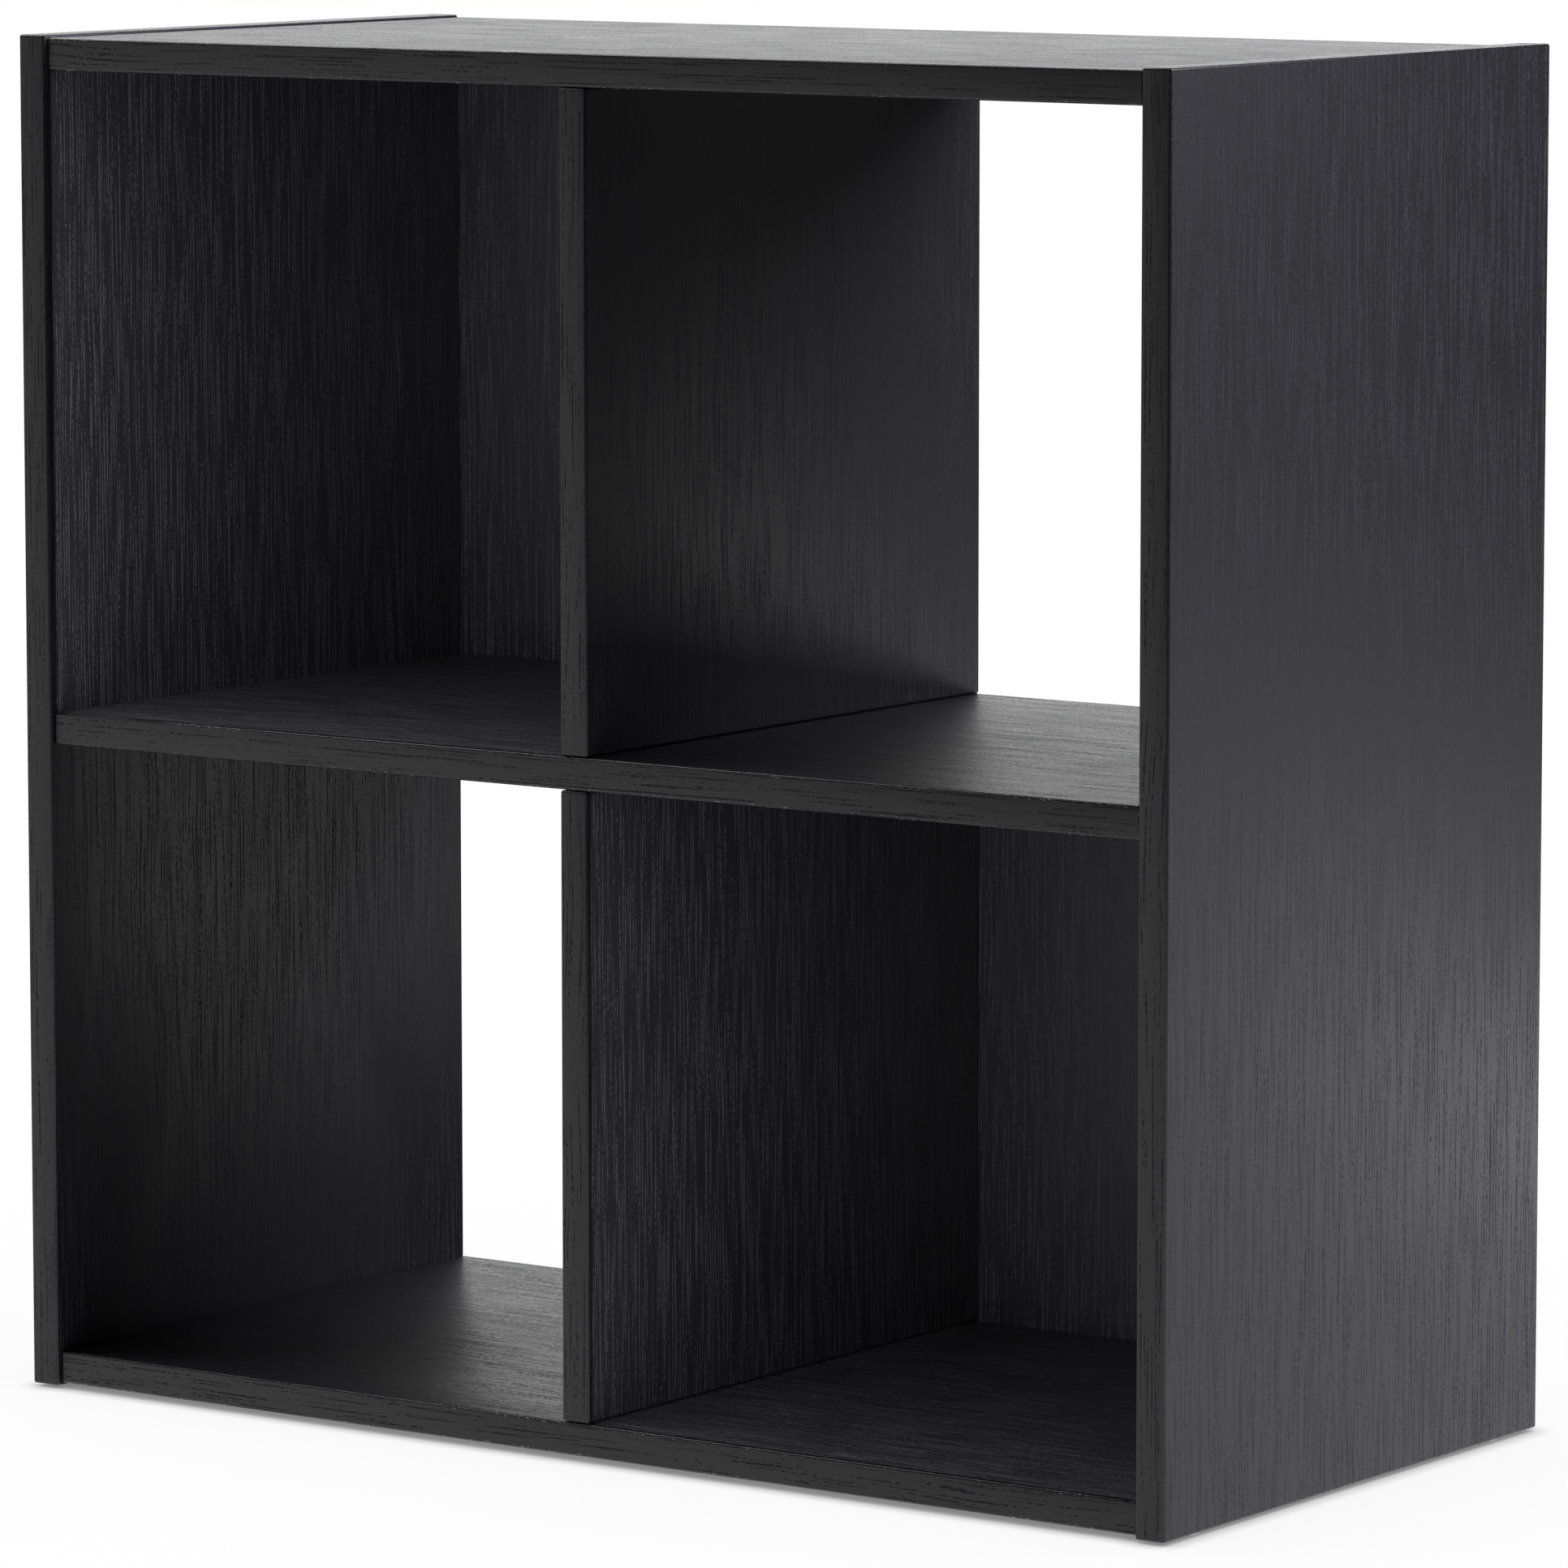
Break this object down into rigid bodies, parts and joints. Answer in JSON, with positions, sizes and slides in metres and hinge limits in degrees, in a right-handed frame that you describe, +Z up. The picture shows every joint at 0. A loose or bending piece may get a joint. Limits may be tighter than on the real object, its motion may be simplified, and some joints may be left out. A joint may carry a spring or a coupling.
{
  "type": "cube storage unit",
  "caption": "Open-fronted cube storage unit in black wood-grain laminate: square cells, diagonal pair closed by thin backs, the others open right through.",
  "frame": {"origin": "on the floor, under the middle of the unit's bounding box", "axes": "+Z up, the open front faces -Y, +X is to the right as seen from the front"},
  "size_m": [0.61, 0.3082, 0.6115],
  "materials": {
    "black_laminate": "satin embossed wood-grain laminate on particleboard",
    "back_laminate": "matt wood-grain paper on thin fibreboard",
    "zinc_cam": "die-cast zinc",
    "plated_steel": "zinc-plated steel",
    "beech_dowel": "bare beech",
    "nylon_glide": "pale nylon"
  },
  "bodies": {
    "root": {"left_side_panel": "black_laminate", "right_side_panel": "black_laminate", "top_panel": "black_laminate", "middle_shelf": "black_laminate", "bottom_panel": "black_laminate", "upper_divider": "black_laminate", "lower_divider": "black_laminate", "upper_left_back_panel": "back_laminate", "lower_right_back_panel": "back_laminate", "back_screw_lower_right_inner_high": "plated_steel", "back_screw_lower_right_inner_low": "plated_steel", "back_screw_lower_right_outer_high": "plated_steel", "back_screw_lower_right_outer_low": "plated_steel", "back_screw_upper_left_inner_high": "plated_steel", "back_screw_upper_left_inner_low": "plated_steel", "back_screw_upper_left_outer_high": "plated_steel", "back_screw_upper_left_outer_low": "plated_steel", "cam_bolt_bottom_left_front": "plated_steel", "cam_bolt_bottom_left_rear": "plated_steel", "cam_bolt_bottom_right_front": "plated_steel", "cam_bolt_bottom_right_rear": "plated_steel", "cam_bolt_shelf_left_front": "plated_steel", "cam_bolt_shelf_left_rear": "plated_steel", "cam_bolt_shelf_right_front": "plated_steel", "cam_bolt_shelf_right_rear": "plated_steel", "cam_bolt_top_left_front": "plated_steel", "cam_bolt_top_left_rear": "plated_steel", "cam_bolt_top_right_front": "plated_steel", "cam_bolt_top_right_rear": "plated_steel", "cam_lock_bottom_left_front": "zinc_cam", "cam_lock_bottom_left_rear": "zinc_cam", "cam_lock_bottom_right_front": "zinc_cam", "cam_lock_bottom_right_rear": "zinc_cam", "cam_lock_shelf_left_front": "zinc_cam", "cam_lock_shelf_left_rear": "zinc_cam", "cam_lock_shelf_right_front": "zinc_cam", "cam_lock_shelf_right_rear": "zinc_cam", "cam_lock_top_left_front": "zinc_cam", "cam_lock_top_left_rear": "zinc_cam", "cam_lock_top_right_front": "zinc_cam", "cam_lock_top_right_rear": "zinc_cam", "divider_dowel_bottom_front": "beech_dowel", "divider_dowel_bottom_rear": "beech_dowel", "divider_dowel_shelf_front": "beech_dowel", "divider_dowel_shelf_rear": "beech_dowel", "divider_dowel_top_front": "beech_dowel", "divider_dowel_top_rear": "beech_dowel", "end_dowel_bottom_left": "beech_dowel", "end_dowel_bottom_right": "beech_dowel", "end_dowel_shelf_left": "beech_dowel", "end_dowel_shelf_right": "beech_dowel", "end_dowel_top_left": "beech_dowel", "end_dowel_top_right": "beech_dowel", "glide_left_front": "nylon_glide", "glide_left_rear": "nylon_glide", "glide_right_front": "nylon_glide", "glide_right_rear": "nylon_glide"}
  },
  "joints": []
}
